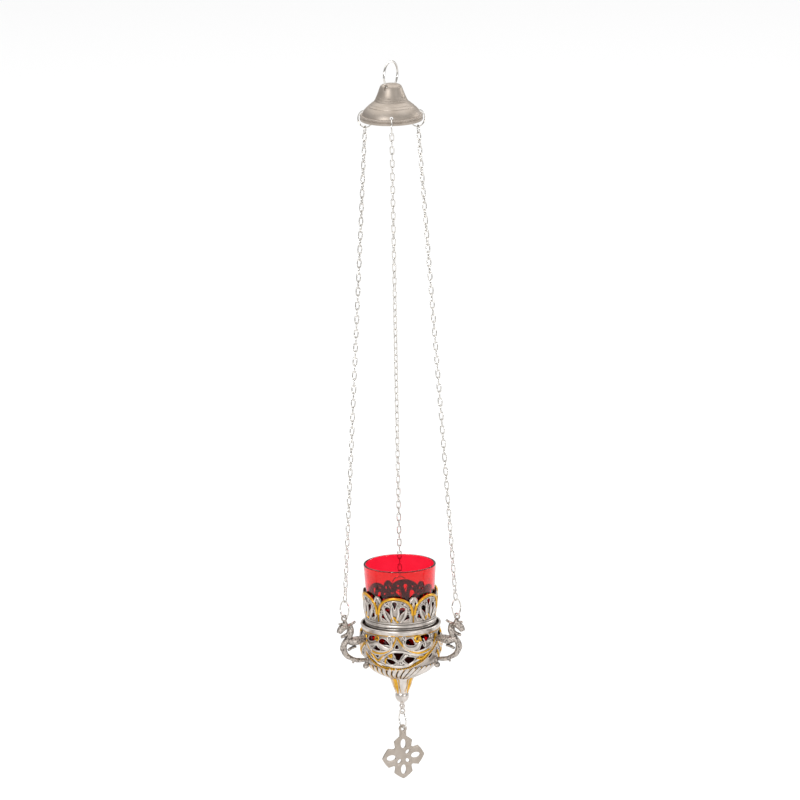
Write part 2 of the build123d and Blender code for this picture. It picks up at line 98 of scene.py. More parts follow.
class LampSizes(bpy.types.PropertyGroup):
    """Sizes of the visible detail."""
    link_pitch: bpy.props.FloatProperty(
        name="Link pitch", description="Inside length of a chain link", default=6.25 * MM, unit="LENGTH")
    link_width: bpy.props.FloatProperty(
        name="Link width", description="Outside width of a chain link", default=4.5 * MM, unit="LENGTH")
    link_wire: bpy.props.FloatProperty(
        name="Link wire", description="Wire diameter of a chain link", default=1.1 * MM, unit="LENGTH")
    link_gap: bpy.props.FloatProperty(
        name="Link gap", description="Running gap between two links", default=0.06 * MM, unit="LENGTH")
    ornament_turn: bpy.props.FloatProperty(
        name="Ornament turn", description="How far the bowl's ornament is turned from the front",
        default=0.0, subtype="ANGLE")
    gallery_turn: bpy.props.FloatProperty(
        name="Gallery turn", description="How far a scallop's middle is turned from the front",
        default=math.radians(-9.0), subtype="ANGLE")


class LampColours(bpy.types.PropertyGroup):
    """Colours of the finishes, as sRGB hex."""
    silver: bpy.props.StringProperty(
        name="Silver", description="Polished silver plate on raised work", default="#DCD4CD")
    patina: bpy.props.StringProperty(
        name="Patina", description="Dark sulphide left in the recesses", default="#2A1D17")
    gilt: bpy.props.StringProperty(
        name="Gilt", description="Warm gold plate on the edges and volutes", default="#E3AC3C")
    satin: bpy.props.StringProperty(
        name="Satin plate", description="Satin silver plate on the turned and flat pieces",
        default="#B9AFA5")
    glass: bpy.props.StringProperty(
        name="Glass", description="Red of the vigil glass", default="#F01B34")


# Materials

def linear(hex_colour, alpha=1.0):
    """An sRGB hex colour as a linear colour."""
    parts = [int(hex_colour[place:place + 2], 16) / 255 for place in (1, 3, 5)]
    return tuple(p / 12.92 if p <= 0.04045 else ((p + 0.055) / 1.055) ** 2.4 for p in parts) + (alpha,)


def add_node(tree, kind, settings=None, values=None, links=None):
    """Adds one node with its settings, socket values and incoming links."""
    node = tree.nodes.new(kind)
    for key, value in (settings or {}).items():
        setattr(node, key, value)
    for key, value in (values or {}).items():
        node.inputs[key].default_value = value
    for key, source in (links or {}).items():
        tree.links.new(source, node.inputs[key])
    return node


def new_material(name):
    """An empty node material with its output."""
    material = bpy.data.materials.new(name)
    material.use_nodes = True
    material.node_tree.nodes.clear()
    return material, material.node_tree


def per_mm(size):
    """Texture scale for a pattern whose grain is so many millimetres."""
    return 1.0 / (size * MM)


def ramp(tree, source, stops):
    """A colour ramp with its stops, fed by a source."""
    node = add_node(tree, "ShaderNodeValToRGB", links={"Fac": source})
    elements = node.color_ramp.elements
    while len(elements) < len(stops):
        elements.new(0.5)
    for element, (place, colour) in zip(elements, stops):
        element.position = place
        element.color = colour
    return node


def grey(level):
    """A neutral linear colour."""
    return (level, level, level, 1.0)


def plated_metal(name, colour, shade, roughness, depth_mm, grain_mm, bump, scales_mm=None):
    """Plated metal: dark in its recesses, with a fine cast grain and, if asked for, chased scales."""
    material, tree = new_material(name)
    place = add_node(tree, "ShaderNodeTexCoord")
    grain = add_node(tree, "ShaderNodeTexNoise", values={"Scale": per_mm(grain_mm), "Detail": 3.0},
                     links={"Vector": place.outputs["Object"]})
    blotch = add_node(tree, "ShaderNodeTexNoise", values={"Scale": per_mm(5.0), "Detail": 3.0},
                      links={"Vector": place.outputs["Object"]})
    recess = add_node(tree, "ShaderNodeAmbientOcclusion", {"samples": 8, "only_local": True},
                      {"Distance": depth_mm * MM})
    open_share = ramp(tree, recess.outputs["AO"], [(0.42, grey(0.0)), (0.78, grey(1.0))])
    worn_tone = ramp(tree, blotch.outputs["Fac"], [(0.36, grey(0.62)), (0.60, grey(1.0))])
    worn = add_node(tree, "ShaderNodeMix", {"data_type": "RGBA", "blend_type": "MULTIPLY"},
                    {"Factor": 0.6, "A": linear(colour)}, {"B": worn_tone.outputs["Color"]})
    base = add_node(tree, "ShaderNodeMix", {"data_type": "RGBA"}, {"A": linear(shade)},
                    {"Factor": open_share.outputs["Color"], "B": worn.outputs["Result"]})
    gloss = add_node(tree, "ShaderNodeMapRange",
                     values={"To Min": roughness + 0.18, "To Max": roughness - 0.05},
                     links={"Value": grain.outputs["Fac"]})
    relief = add_node(tree, "ShaderNodeBump", values={"Strength": bump, "Distance": 0.1 * MM},
                      links={"Height": grain.outputs["Fac"]})
    if scales_mm:
        scales = add_node(tree, "ShaderNodeTexVoronoi", {"feature": "SMOOTH_F1"},
                          {"Scale": per_mm(scales_mm)}, {"Vector": place.outputs["Object"]})
        scale_tone = ramp(tree, scales.outputs["Distance"], [(0.30, grey(1.0)), (0.62, grey(0.0))])
        relief = add_node(tree, "ShaderNodeBump", values={"Strength": 0.8, "Distance": 0.35 * MM},
                          links={"Height": scale_tone.outputs["Color"], "Normal": relief.outputs["Normal"]})
        base = add_node(tree, "ShaderNodeMix", {"data_type": "RGBA"}, {"A": linear(shade)},
                        {"Factor": ramp(tree, scales.outputs["Distance"],
                                        [(0.36, grey(1.0)), (0.68, grey(0.30))]).outputs["Color"],
                         "B": base.outputs["Result"]})
    shader = add_node(tree, "ShaderNodeBsdfPrincipled", values={"Metallic": 1.0},
                      links={"Base Color": base.outputs["Result"], "Roughness": gloss.outputs["Result"],
                             "Normal": relief.outputs["Normal"]})
    add_node(tree, "ShaderNodeOutputMaterial", links={"Surface": shader.outputs["BSDF"]})
    return material


def turned_satin(name, colour, roughness, line_mm, across_axis):
    """Satin silver plate with the fine lines of turning or brushing across one axis."""
    material, tree = new_material(name)
    place = add_node(tree, "ShaderNodeTexCoord")
    stretch = [1.0, 1.0, 1.0]
    stretch[across_axis] = 30.0
    lines = add_node(tree, "ShaderNodeMapping", values={"Scale": tuple(stretch)},
                     links={"Vector": place.outputs["Object"]})
    brushed = add_node(tree, "ShaderNodeTexNoise", values={"Scale": per_mm(line_mm * 30), "Detail": 4.0},
                       links={"Vector": lines.outputs["Vector"]})
    tarnish = add_node(tree, "ShaderNodeTexNoise", values={"Scale": per_mm(14.0), "Detail": 3.0},
                       links={"Vector": place.outputs["Object"]})
    tint = add_node(tree, "ShaderNodeMix", {"data_type": "RGBA", "blend_type": "MULTIPLY"},
                    {"Factor": 0.5, "A": linear(colour)},
                    {"B": ramp(tree, tarnish.outputs["Fac"],
                               [(0.35, (0.72, 0.68, 0.62, 1.0)), (0.65, grey(1.0))]).outputs["Color"]})
    gloss = add_node(tree, "ShaderNodeMapRange",
                     values={"To Min": roughness - 0.08, "To Max": roughness + 0.12},
                     links={"Value": brushed.outputs["Fac"]})
    relief = add_node(tree, "ShaderNodeBump", values={"Strength": 0.25, "Distance": 0.05 * MM},
                      links={"Height": brushed.outputs["Fac"]})
    shader = add_node(tree, "ShaderNodeBsdfPrincipled", values={"Metallic": 1.0},
                      links={"Base Color": tint.outputs["Result"], "Roughness": gloss.outputs["Result"],
                             "Normal": relief.outputs["Normal"]})
    add_node(tree, "ShaderNodeOutputMaterial", links={"Surface": shader.outputs["BSDF"]})
    return material


def red_glass(name, colour):
    """Pressed soda glass, coloured through, with slow waves in its surface."""
    material, tree = new_material(name)
    place = add_node(tree, "ShaderNodeTexCoord")
    wave = add_node(tree, "ShaderNodeTexNoise", values={"Scale": per_mm(12.0), "Detail": 1.0},
                    links={"Vector": place.outputs["Object"]})
    relief = add_node(tree, "ShaderNodeBump", values={"Strength": 0.15, "Distance": 0.3 * MM},
                      links={"Height": wave.outputs["Fac"]})
    depth = ramp(tree, wave.outputs["Fac"], [(0.3, linear(colour)), (0.7, linear("#F3223A"))])
    shader = add_node(tree, "ShaderNodeBsdfPrincipled",
                      values={"Roughness": 0.02, "IOR": 1.45, "Transmission Weight": 1.0},
                      links={"Base Color": depth.outputs["Color"], "Normal": relief.outputs["Normal"]})
    add_node(tree, "ShaderNodeOutputMaterial", links={"Surface": shader.outputs["BSDF"]})
    return material


def stage_paper(name):
    """Matt white studio paper."""
    material, tree = new_material(name)
    place = add_node(tree, "ShaderNodeTexCoord")
    fibre = add_node(tree, "ShaderNodeTexNoise", values={"Scale": per_mm(2.0)},
                     links={"Vector": place.outputs["Object"]})
    tone = ramp(tree, fibre.outputs["Fac"], [(0.3, grey(0.90)), (0.7, grey(0.92))])
    shader = add_node(tree, "ShaderNodeBsdfPrincipled", values={"Roughness": 0.9},
                      links={"Base Color": tone.outputs["Color"]})
    add_node(tree, "ShaderNodeOutputMaterial", links={"Surface": shader.outputs["BSDF"]})
    return material


def finishes():
    """The lamp's materials by name, made once."""
    colours = bpy.context.scene.lamp_colours
    makers = {
        # Electroplated silver on cast brass, antiqued: bright high spots and brown-black recesses
        "cast_silver": lambda: plated_metal("cast_silver", colours.silver, colours.patina,
                                            0.27, 1.3, 0.5, 0.5),
        # The same plate chased all over with small scales, as on the handles
        "scaled_silver": lambda: plated_metal(
            "scaled_silver", "#C9BFB6", "#201510", 0.32, 3.0, 0.5, 0.5, 1.25),
        # The wall between the scrolls: the same plate, duller
        "antique_ground": lambda: plated_metal("antique_ground", "#B9AFA6", colours.patina,
                                               0.34, 1.6, 0.4, 0.6),
        # Painted shade: brown-black on the inside of the castings, the sides of the piercings, the seat
        # under the gallery and the wall behind the leaves, where shade falls
        "painted_shade_inside": lambda: plated_metal("painted_shade_inside", "#4A3730", "#1C1210", 0.55, 2.0, 0.6, 0.6),
        # Gold flash over silver: warm, smoother than the casting
        "gilt_plate": lambda: plated_metal("gilt_plate", colours.gilt, "#6A4312", 0.24, 0.9, 0.6, 0.4),
        # Drawn wire, tumbled and plated: even satin
        "plated_wire": lambda: plated_metal("plated_wire", "#8C8278", "#2E251F", 0.36, 0.9, 0.25, 0.2),
        # Turned brass, satin plated: rings of the lathe tool
        "turned_plate": lambda: turned_satin("turned_plate", colours.satin, 0.50, 0.35, 2),
        # Sheet, stamped and brushed flat
        "brushed_plate": lambda: turned_satin("brushed_plate", colours.satin, 0.45, 0.30, 0),
        # Pressed soda glass, red right through: clear, with a slightly wavy gloss
        "vigil_glass": lambda: red_glass("vigil_glass", colours.glass),
        # Matt white background paper, which shows only as a pale floor
        "studio_paper": lambda: stage_paper("studio_paper"),
    }
    for name, maker in makers.items():
        if name not in bpy.data.materials:
            maker()
    return bpy.data.materials


# Modelling helpers

def deselect():
    """Leaves nothing selected, so an operator acts only on what is picked next."""
    if bpy.context.object and bpy.context.object.mode != "OBJECT":
        bpy.ops.object.mode_set(mode="OBJECT")
    bpy.ops.object.select_all(action="DESELECT")


def pick(*pieces):
    """Selects pieces, the first one active."""
    deselect()
    for piece in pieces:
        piece.select_set(True)
    bpy.context.view_layer.objects.active = pieces[0]


def join(pieces, name):
    """Joins pieces into one, which takes the name."""
    pick(*pieces)
    if len(pieces) > 1:
        bpy.ops.object.join()
    joined = bpy.context.view_layer.objects.active
    joined.name = name
    joined.data.name = name
    return joined


def copies(piece, places):
    """Copies of a piece, each with its own mesh moved to its place; the first one is removed."""
    made = []
    for number, place in enumerate(places):
        pick(piece)
        bpy.ops.object.duplicate(linked=False)
        copy = bpy.context.view_layer.objects.active
        copy.data.transform(place)
        if place.determinant() < 0:
            copy.data.flip_normals()
        made.append(copy)
    bpy.data.objects.remove(piece)
    return made


def merge_and_face_out(piece, distance=1e-6):
    """Merges doubled points and turns every face outwards."""
    pick(piece)
    bpy.ops.object.mode_set(mode="EDIT")
    bpy.ops.mesh.select_all(action="SELECT")
    bpy.ops.mesh.remove_doubles(threshold=distance)
    bpy.ops.mesh.normals_make_consistent(inside=False)
    bpy.ops.object.mode_set(mode="OBJECT")


def smooth(piece, angle=40.0):
    """Smooth shading across edges that are blunter than an angle."""
    pick(piece)
    bpy.ops.object.shade_smooth_by_angle(angle=math.radians(angle))


def paint(piece, *names):
    """Gives a piece its materials, in slot order."""
    materials = finishes()
    piece.data.materials.clear()
    for name in names:
        piece.data.materials.append(materials[name])


def done(piece, body, slot, *replaced):
    """Fixes a finished piece to its body and hides the nodes it stands for; slot is not used."""
    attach(piece, body)
    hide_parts(*replaced)


def hold_within(piece, reach):
    """Draws in the few points that stand further than reach from the lamp's axis."""
    for vertex in piece.data.vertices:
        out = math.hypot(vertex.co.x, vertex.co.y)
        if out > reach:
            vertex.co.x *= reach / out
            vertex.co.y *= reach / out


def paint_shade_inside(piece, material):
    """Gives the inward faces of a flat wall, and the sides of its piercings, another finish: painted shade.
    """
    piece.data.materials.append(finishes()[material])
    for face in piece.data.polygons:
        if face.normal.z < 0.5:
            face.material_index = 1


def tube(strokes, name, flat=1.0, sides=3):
    """One mesh of round tapering strokes. A stroke is (points, radii, closed) in millimetres."""
    data = bpy.data.curves.new(name, "CURVE")
    data.dimensions = "3D"
    data.bevel_depth = 1.0
    data.bevel_resolution = sides
    data.use_fill_caps = True
    for points, radii, closed in strokes:
        spline = data.splines.new("NURBS")
        spline.points.add(len(points) - 1)
        for point, place, radius in zip(spline.points, points, radii):
            point.co = (place[0], place[1], place[2] if len(place) > 2 else 0.0, 1.0)
            point.radius = radius
        spline.order_u = 3
        spline.use_endpoint_u = not closed
        spline.use_cyclic_u = closed
        spline.resolution_u = 4
    curve = bpy.data.objects.new(name, data)
    bpy.context.scene.collection.objects.link(curve)
    pick(curve)
    bpy.ops.object.convert(target="MESH")
    made = bpy.context.view_layer.objects.active
    made.data.transform(Matrix.Diagonal((1, 1, flat, 1)))
    merge_and_face_out(made, 1e-4)
    return made


def prism(outline, low, high, name):
    """A closed prism over an outline in the flat, in millimetres."""
    deselect()
    bpy.ops.mesh.primitive_circle_add(vertices=len(outline), radius=1.0, fill_type="NGON",
                                      location=(0, 0, low))
    made = bpy.context.view_layer.objects.active
    bpy.ops.object.transform_apply(location=True)
    made.name = name
    for vertex, (x, y) in zip(made.data.vertices, outline):
        vertex.co = (x, y, low)
    bpy.ops.object.mode_set(mode="EDIT")
    bpy.ops.mesh.select_all(action="SELECT")
    bpy.ops.mesh.extrude_region_move(TRANSFORM_OT_translate={"value": (0, 0, high - low)})
    bpy.ops.mesh.select_all(action="SELECT")
    bpy.ops.mesh.normals_make_consistent(inside=False)
    bpy.ops.object.mode_set(mode="OBJECT")
    return made


def drop_outline(head, radius, tail, bow=0.0, steps=10):
    """A drop-shaped outline: a round head and a tail that ends in a point, bowed to one side."""
    head, tail = Vector(head), Vector(tail)
    along = (tail - head).normalized()
    across = Vector((-along.y, along.x))
    points = []
    for step in range(steps + 1):
        turn = math.pi * (step / steps) + math.pi / 2
        points.append(head + radius * (along * math.cos(turn) + across * math.sin(turn)))
    waist = head.lerp(tail, 0.55) + across * bow
    points.append(waist - across * radius * 0.45)
    points.append(tail)
    points.append(waist + across * radius * 0.45)
    return [tuple(point) for point in points]


def blob_outline(middle, long, wide, turn, point=0.0, steps=16):
    """An oval outline that may come to a point at both ends."""
    turn = math.radians(turn)
    made = []
    for step in range(steps):
        angle = math.tau * step / steps
        x = long * math.cos(angle)
        y = wide * math.sin(angle) * (1 - point * abs(math.cos(angle)) ** 2)
        made.append((middle[0] + x * math.cos(turn) - y * math.sin(turn),
                     middle[1] + x * math.sin(turn) + y * math.cos(turn)))
    return made


def volute(middle, radius, start, turns, wire, mirror=1):
    """A spiral stroke that winds in to its eye."""
    points, radii = [], []
    steps = int(turns * 10)
    for step in range(steps + 1):
        share = step / steps
        angle = math.radians(start) + mirror * math.tau * turns * share
        reach = radius * (1 - 0.88 * share)
        points.append((middle[0] + reach * math.cos(angle),
                       middle[1] + reach * math.sin(angle), 0.3 * share))
        radii.append(wire * (0.7 + 0.5 * share))
    return points, radii, False


def leaf(points, widest):
    """A leaf-shaped stroke: thin, full, thin."""
    count = len(points)
    radii = [widest * (0.35 + 0.65 * math.sin(math.pi * (i + 0.35) / count)) for i in range(count)]
    return points, radii, False


def line(points, radius):
    """A stroke of even thickness."""
    return points, [radius] * len(points), False


def outline_rim(outline, radius):
    """A closed bead round a hole, kept outside its outline."""
    middle = sum((Vector(p[:2]) for p in outline), Vector((0, 0))) / len(outline)
    grown = []
    for point in outline:
        out = Vector(point[:2]) - middle
        spot = Vector(point[:2]) + out.normalized() * (radius + 0.25)
        grown.append((spot.x, spot.y, point[2]))
    return grown, [radius] * len(grown), True


def cut(piece, cutters, operation="DIFFERENCE"):
    """Cuts prisms out of a piece, or keeps what is inside them."""
    tool = join(cutters, "cutter")
    pick(piece)
    modifier = piece.modifiers.new("cut", "BOOLEAN")
    modifier.operation = operation
    modifier.object = tool
    modifier.solver = "EXACT"
    bpy.ops.object.modifier_apply(modifier="cut")
    bpy.data.objects.remove(tool)


def slab(width, low, high, depth, columns, rows, name):
    """A flat gridded slab, in millimetres, its outer face at zero."""
    deselect()
    bpy.ops.mesh.primitive_grid_add(x_subdivisions=columns, y_subdivisions=rows, size=1.0,
                                    location=(0, 0, 0))
    made = bpy.context.view_layer.objects.active
    made.name = name
    stretched = Matrix.Diagonal((width, high - low, 1, 1))
    made.data.transform(Matrix.Translation((0, (low + high) / 2, -depth)) @ stretched)
    bpy.ops.object.mode_set(mode="EDIT")
    bpy.ops.mesh.select_all(action="SELECT")
    bpy.ops.mesh.extrude_region_move(TRANSFORM_OT_translate={"value": (0, 0, depth)})
    bpy.ops.mesh.select_all(action="SELECT")
    bpy.ops.mesh.normals_make_consistent(inside=False)
    bpy.ops.object.mode_set(mode="OBJECT")
    return made


class Surface:
    """A surface of revolution that flat work is wrapped on: radius by height, both in millimetres."""

    def __init__(self, base_z, outline, flat_radius):
        self.base_z = base_z
        self.outline = outline
        self.flat_radius = flat_radius

    def radius(self, height):
        """Radius at a height, smooth through the outline's points."""
        points = self.outline
        last = len(points) - 1
        place = max(0, min(last - 1, sum(1 for h, _ in points[1:] if h <= height)))
        (h1, r1), (h2, r2) = points[place], points[place + 1]
        r0 = points[max(place - 1, 0)]
        r3 = points[min(place + 2, last)]
        slope1 = (r2 - r0[1]) / (h2 - r0[0])
        slope2 = (r3[1] - r1) / (r3[0] - h1)
        t = (height - h1) / (h2 - h1)
        span = h2 - h1
        return ((2 * t ** 3 - 3 * t ** 2 + 1) * r1 + (t ** 3 - 2 * t ** 2 + t) * span * slope1
                + (3 * t ** 2 - 2 * t ** 3) * r2 + (t ** 3 - t ** 2) * span * slope2)

    def place(self, x, y, z, turn):
        """A flat point (along, up, out) on the surface, in metres, turned about the axis."""
        slope = (self.radius(y + 0.05) - self.radius(y - 0.05)) / 0.1
        size = math.hypot(1.0, slope)
        reach = self.radius(y) + z / size
        angle = x / self.flat_radius + turn - math.pi / 2
        return Vector((reach * math.cos(angle) * MM, reach * math.sin(angle) * MM,
                       (self.base_z + y - z * slope / size) * MM))

    def wrap(self, piece, turn=0.0):
        """Moves every point of a flat piece onto the surface."""
        for vertex in piece.data.vertices:
            vertex.co = self.place(*vertex.co, turn)


def spun(profile, steps, name):
    """A closed turned piece: its profile, in (radius, height) metres, spun round the axis."""
    deselect()
    bpy.ops.mesh.primitive_circle_add(vertices=len(profile), radius=1.0, fill_type="NOTHING")
    made = bpy.context.view_layer.objects.active
    made.name = name
    for vertex, (radius, height) in zip(made.data.vertices, profile):
        vertex.co = (radius, 0.0, height)
    bpy.ops.object.mode_set(mode="EDIT")
    bpy.ops.mesh.select_all(action="SELECT")
    bpy.ops.mesh.spin(steps=steps, angle=math.tau, center=(0, 0, 0), axis=(0, 0, 1))
    bpy.ops.object.mode_set(mode="OBJECT")
    merge_and_face_out(made)
    return made


def torus(name, major, minor, around_steps, wire_steps):
    """A ring of wire lying flat at the origin, in metres."""
    deselect()
    bpy.ops.mesh.primitive_torus_add(major_segments=around_steps, minor_segments=wire_steps,
                                     major_radius=major, minor_radius=minor)
    made = bpy.context.view_layer.objects.active
    made.name = name
    return made


def frame_of(middle, x_axis, z_axis):
    """A placing matrix from a middle and two square directions."""
    x_axis, z_axis = x_axis.normalized(), z_axis.normalized()
    y_axis = z_axis.cross(x_axis)
    turned = Matrix((x_axis, y_axis, z_axis)).transposed().to_4x4()
    return Matrix.Translation(middle) @ turned


def best_normal(node):
    """A flat ring's middle, the direction square to it, and one direction across it."""
    points = [vertex.co for vertex in frame["nodes"][node].data.vertices]
    low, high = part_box(node)
    middle = (Vector(low) + Vector(high)) / 2
    far = max(points, key=lambda p: (p - middle).length) - middle
    other = max(points, key=lambda p: (p - middle).cross(far).length) - middle
    return middle, far.cross(other).normalized(), far.normalized()


class LAMP_OT_rings(bpy.types.Operator):
    """Round wire rings, each with the fine seam where its ends meet"""
    bl_idname = "lamp.rings"
    bl_label = "Round rings"

    def execute(self, context):
        owners = {"hanging_ring": "hanging_ring", "pendant_ring": "pendant_ring"}
        for side in SIDES:
            owners[f"cap_ring_{side}"] = f"chain_{side}"
            owners[f"handle_ring_{side}"] = f"chain_{side}"
        for node, body in owners.items():
            middle, normal, far = best_normal(node)
            reach = max((v.co - middle).length for v in frame["nodes"][node].data.vertices)
            near = min((v.co - middle).length for v in frame["nodes"][node].data.vertices)
            wire = (reach - near) / 2
            ring = torus(f"look_{node}", (reach + near) / 2, wire, 96, 20)
            for vertex in ring.data.vertices:
                angle = math.atan2(vertex.co.y, vertex.co.x)
                seam = math.exp(-(angle * reach / (0.22 * MM)) ** 2)
                spot = Vector((math.cos(angle), math.sin(angle), 0)) * ((reach + near) / 2)
                vertex.co = spot + (vertex.co - spot) * (1 - 0.16 * seam)
            ring.data.transform(frame_of(middle, far.cross(normal), normal))
            paint(ring, "plated_wire")
            smooth(ring, 60)
            done(ring, body, "plated_wire", node)
        return {"FINISHED"}


class LAMP_OT_chains(bpy.types.Operator):
    """Three chains of oval links, each link a quarter turn from the next"""
    bl_idname = "lamp.chains"
    bl_label = "Chains"

    def execute(self, context):
        sizes = context.scene.lamp_sizes
        for side in SIDES:
            cap_middle, cap_normal, _ = best_normal(f"cap_ring_{side}")
            handle_middle, handle_normal, _ = best_normal(f"handle_ring_{side}")
            along = (handle_middle - cap_middle).normalized()
            points = [v.co for v in frame["nodes"][f"cap_ring_{side}"].data.vertices]
            inside = min((p - cap_middle).length for p in points)
            start = cap_middle + along * inside
            run = (handle_middle - along * inside) - start
            count = round(run.length / sizes.link_pitch)
            pitch = run.length / count
            first, last = along.cross(cap_normal).cross(along), along.cross(handle_normal).cross(along)
            odd = math.atan2(along.dot(first.cross(last)), first.dot(last))
            twist = (odd - math.pi / 2 * (count - 1) + math.pi / 2) % math.pi - math.pi / 2
            bend = (sizes.link_width - sizes.link_wire) / 2
            straight = (pitch + sizes.link_wire + sizes.link_gap) / 2 - bend
            link = torus("link", bend, sizes.link_wire / 2, 12, 6)
            for vertex in link.data.vertices:
                vertex.co.x += math.copysign(straight, vertex.co.x) if abs(vertex.co.x) > 1e-6 else 0.0
            places = []
            for number in range(count):
                turn = math.pi / 2 * number + twist * number / (count - 1)
                across = Matrix.Rotation(turn, 3, along) @ first
                places.append(frame_of(start + along * (pitch * (number + 0.5)), along,
                                       along.cross(across)))
            chain = join(copies(link, places), f"look_chain_{side}")
            paint(chain, "plated_wire")
            smooth(chain, 80)
            done(chain, f"chain_{side}", "plated_wire", f"chain_{side}")
        return {"FINISHED"}


class LAMP_OT_cap(bpy.types.Operator):
    """Turned bell cap: stepped neck, flared skirt and grooved rim, pierced for its rings"""
    bl_idname = "lamp.cap"
    bl_label = "Cap"

    def execute(self, context):
        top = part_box("cap")[1].z / MM
        outline = [(0, 0), (3.0, -0.1), (6.4, -0.6), (8.4, -1.3), (9.3, -2.2), (9.9, -3.3),
                   (10.7, -5.4), (11.7, -8.2), (12.7, -10.8), (13.1, -11.4), (13.0, -11.8), (13.5, -12.5),
                   (13.9, -13.3), (13.8, -13.7), (14.4, -14.4), (14.8, -15.1), (14.8, -15.6),
                   (16.0, -16.6), (18.2, -18.2), (18.3, -18.5), (20.4, -20.0), (20.6, -20.5),
                   (22.4, -21.9), (24.2, -23.9), (25.3, -25.9), (25.9, -27.8), (27.5, -27.8),
                   (28.0, -28.4), (28.0, -29.3), (27.3, -29.9), (27.3, -30.3), (28.0, -31.0),
                   (28.0, -32.0), (27.6, -32.8), (26.4, -32.8), (25.0, -31.0), (24.7, -27.6),
                   (24.0, -25.4), (22.2, -23.4), (19.1, -21.4), (15.6, -18.4), (12.8, -15.4), (10.4, -9.0),
                   (8.6, -4.0), (7.4, -2.2), (5.0, -1.4), (0, -1.1)]
        cap = spun([(r * MM, (top + z) * MM) for r, z in outline], 160, "look_cap")
        scale = Matrix.Diagonal((MM, MM, MM, 1))
        cutters = []
        ring_run = Matrix.Rotation(math.radians(60.0), 4, "Z")
        for side in (-1, 1):
            slot = prism(blob_outline((side * 8.5, 0), 2.1, 1.25, 0), top - 6.5, top + 2.0, "slot")
            slot.data.transform(scale @ ring_run)
            cutters.append(slot)
        hole_z = JOINTS["lamp_sway"]["pos_m"][2] / MM + 1.0
        for angle in (30.0, 150.0, 270.0):
            hole = prism(blob_outline((0, 0), 1.5, 1.5, 0), 20.0, 31.0, "hole")
            outward = (Matrix.Rotation(math.radians(angle), 4, "Z")
                       @ Matrix.Rotation(math.radians(90.0), 4, "Y"))
            hole.data.transform(scale @ Matrix.Translation((0, 0, hole_z)) @ outward)
            cutters.append(hole)
        cut(cap, cutters)
        merge_and_face_out(cap)
        paint(cap, "turned_plate")
        smooth(cap, 28)
        done(cap, "cap", "satin_cap", "cap")
        paint(frame["nodes"]["ring_pin"], "plated_wire")
        return {"FINISHED"}


class LAMP_OT_glass(bpy.types.Operator):
    """Pressed red vigil glass"""
    bl_idname = "lamp.glass"
    bl_label = "Glass"

    def execute(self, context):
        paint(frame["nodes"]["glass"], "vigil_glass")
        smooth(frame["nodes"]["glass"], 40)
        return {"FINISHED"}


